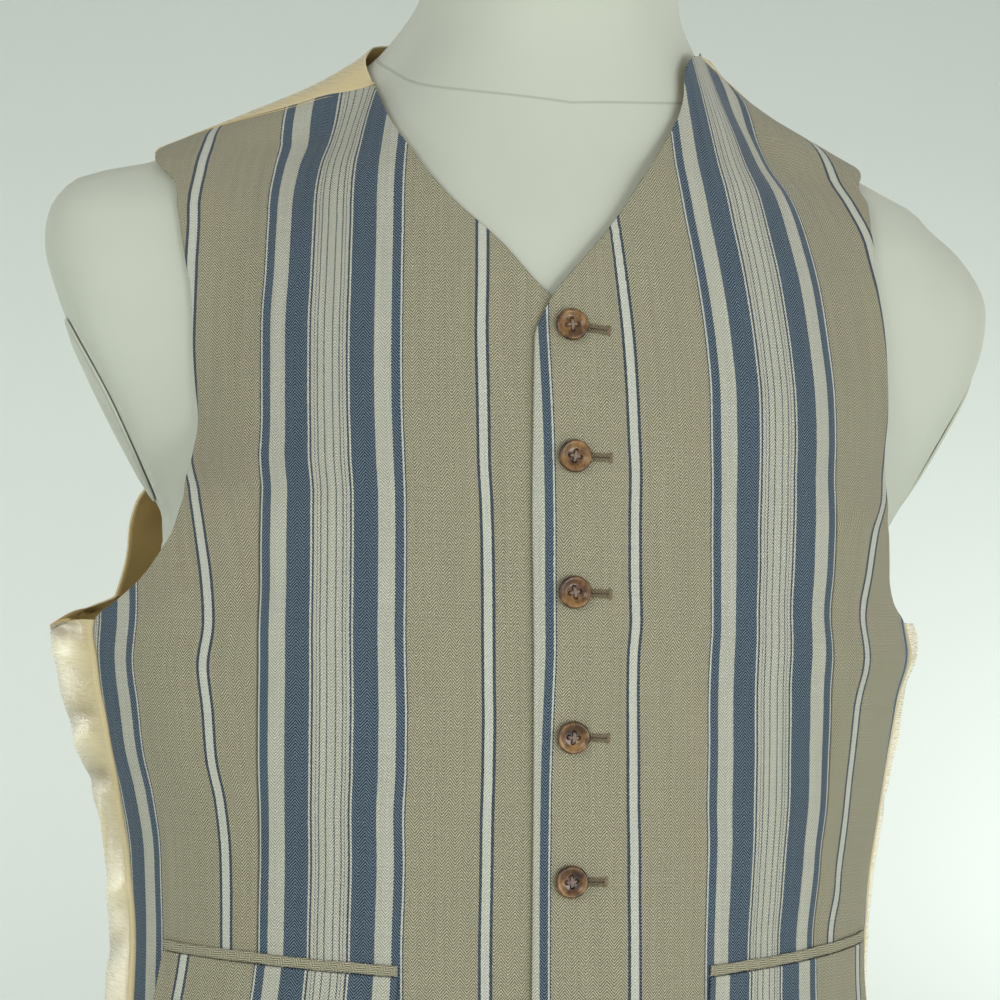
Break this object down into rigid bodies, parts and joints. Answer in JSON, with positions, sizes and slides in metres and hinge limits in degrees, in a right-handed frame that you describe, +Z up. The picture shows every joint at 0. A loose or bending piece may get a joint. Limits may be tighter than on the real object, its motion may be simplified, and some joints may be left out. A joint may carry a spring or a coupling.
{
  "type": "gilet on a limbless dress form",
  "caption": "Sleeveless V-neck gilet with a buttoned striped front, flap pockets and a glossy plain back, standing on a smooth limbless dress form.",
  "frame": {"origin": "centre of the dress form's flat base, on the surface that it stands on", "axes": "+Z up along the form, -Y out of the gilet's buttoned front, +X to the wearer's left"},
  "size_m": [0.4329, 0.265, 0.79],
  "materials": {
    "striped_cloth": "matt herringbone linen and cotton with woven stripes",
    "satin": "glossy gold satin outside, matt golden brown lining inside",
    "form_cover": "smooth off-white stretch cover",
    "horn": "polished mottled brown horn look"
  },
  "bodies": {
    "root": {"form_body": "form_cover", "form_arm_plate_left": "form_cover", "form_arm_plate_right": "form_cover", "back_left": "satin", "back_right": "satin", "front_left": "striped_cloth", "front_right": "striped_cloth", "pocket_jet_left": "striped_cloth", "pocket_jet_right": "striped_cloth", "pocket_flap_left": "striped_cloth", "pocket_flap_right": "striped_cloth", "button_1": "horn", "button_2": "horn", "button_3": "horn", "button_4": "horn", "button_5": "horn", "button_6": "horn"}
  },
  "joints": []
}
